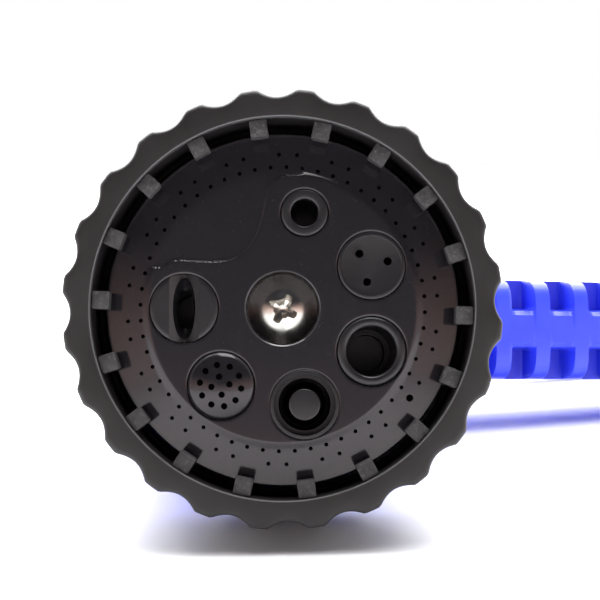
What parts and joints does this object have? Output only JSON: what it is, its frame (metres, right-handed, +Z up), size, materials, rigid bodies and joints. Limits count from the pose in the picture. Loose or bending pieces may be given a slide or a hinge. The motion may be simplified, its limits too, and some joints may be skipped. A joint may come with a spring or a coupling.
{
  "type": "hose spray nozzle",
  "caption": "Garden hose spray nozzle with a turning multi-pattern dial, rear squeeze lever, wire lock clip and quick-connect hose end.",
  "frame": {"origin": "under the middle of the bounding box, on the surface that the nozzle lies on", "axes": "+Z up, -Y the way the dial faces and the water leaves, +X along the grip towards the hose end"},
  "size_m": [0.163, 0.1532, 0.0605],
  "materials": {
    "black_plastic": "satin moulded plastic",
    "black_gloss": "polished moulded plastic",
    "blue_plastic": "moulded plastic",
    "bright_steel": "polished nickel plate",
    "spring_steel": "drawn stainless wire",
    "rubber": "moulded rubber",
    "acetal": "natural acetal",
    "brass": "turned brass"
  },
  "bodies": {
    "handle": {"gun_body": "blue_plastic", "outlet_seal": "rubber", "seal_spring": "spring_steel", "detent_spring": "spring_steel", "return_spring": "spring_steel", "stem_o_ring": "rubber", "gland_nut": "black_plastic", "lever_pin": "bright_steel", "hose_nipple": "black_plastic", "nipple_o_ring": "rubber", "inlet_washer": "rubber", "dial_screw": "bright_steel", "dial_washer": "acetal"},
    "dial": {"dial_ring": "black_plastic", "face_plate": "black_gloss", "fan_nozzle": "black_plastic", "jet_nozzle": "black_plastic", "mist_nozzle": "black_plastic", "full_flow_nozzle": "black_plastic", "cone_nozzle": "black_plastic", "cone_core": "black_plastic", "soft_shower_nozzle": "black_gloss", "dial_back": "black_plastic"},
    "lever": {"squeeze_lever": "black_plastic"},
    "stem": {"valve_stem": "brass", "valve_washer": "rubber"},
    "washer": {"nut_washer": "bright_steel"},
    "nut": {"flow_nut": "brass"},
    "clip": {"lock_clip": "bright_steel"},
    "detent": {"detent_ball": "bright_steel"}
  },
  "joints": [
    {"name": "dial_turn", "type": "hinge", "parent": "handle", "child": "dial", "pos_m": [-0.05125, -0.05042, 0.02856], "axis": [0.0025, -0.9881, 0.1535], "continuous": true},
    {"name": "lever_squeeze", "type": "hinge", "parent": "handle", "child": "lever", "pos_m": [-0.04648, 0.03851, 0.01466], "axis": [-0.016, -0.1535, -0.988], "range_deg": [0, 13.5], "stiffness_Nm_per_rad": 1, "springref_deg": -8.59},
    {"name": "stem_slide", "type": "slide", "parent": "handle", "child": "stem", "axis": [-0.0025, 0.9881, -0.1535], "range_m": [0, 0.00426], "deforming": ["return_spring"]},
    {"name": "washer_slide", "type": "slide", "parent": "stem", "child": "washer", "axis": [-0.0025, 0.9881, -0.1535], "range_m": [0, 0.0025]},
    {"name": "nut_turn", "type": "hinge", "parent": "washer", "child": "nut", "pos_m": [-0.06459, 0.0474, 0.01357], "axis": [-0.0025, 0.9881, -0.1535], "range_deg": [0, 720]},
    {"name": "lock_clip_swing", "type": "hinge", "parent": "handle", "child": "clip", "pos_m": [0.0293, 0.03708, 0.01365], "axis": [0.016, 0.1535, 0.988], "range_deg": [0, 68]},
    {"name": "detent_slide", "type": "slide", "parent": "handle", "child": "detent", "axis": [-0.0025, 0.9881, -0.1535], "range_m": [0, 0.0008], "stiffness_N_per_m": 300, "springref_m": -0.001, "deforming": ["detent_spring"]}
  ],
  "couplings": [
    {"joint": "lever_squeeze", "follows": "stem_slide", "rad_per_m": 55.249},
    {"joint": "nut_turn", "follows": "washer_slide", "rad_per_m": 5026.5}
  ]
}
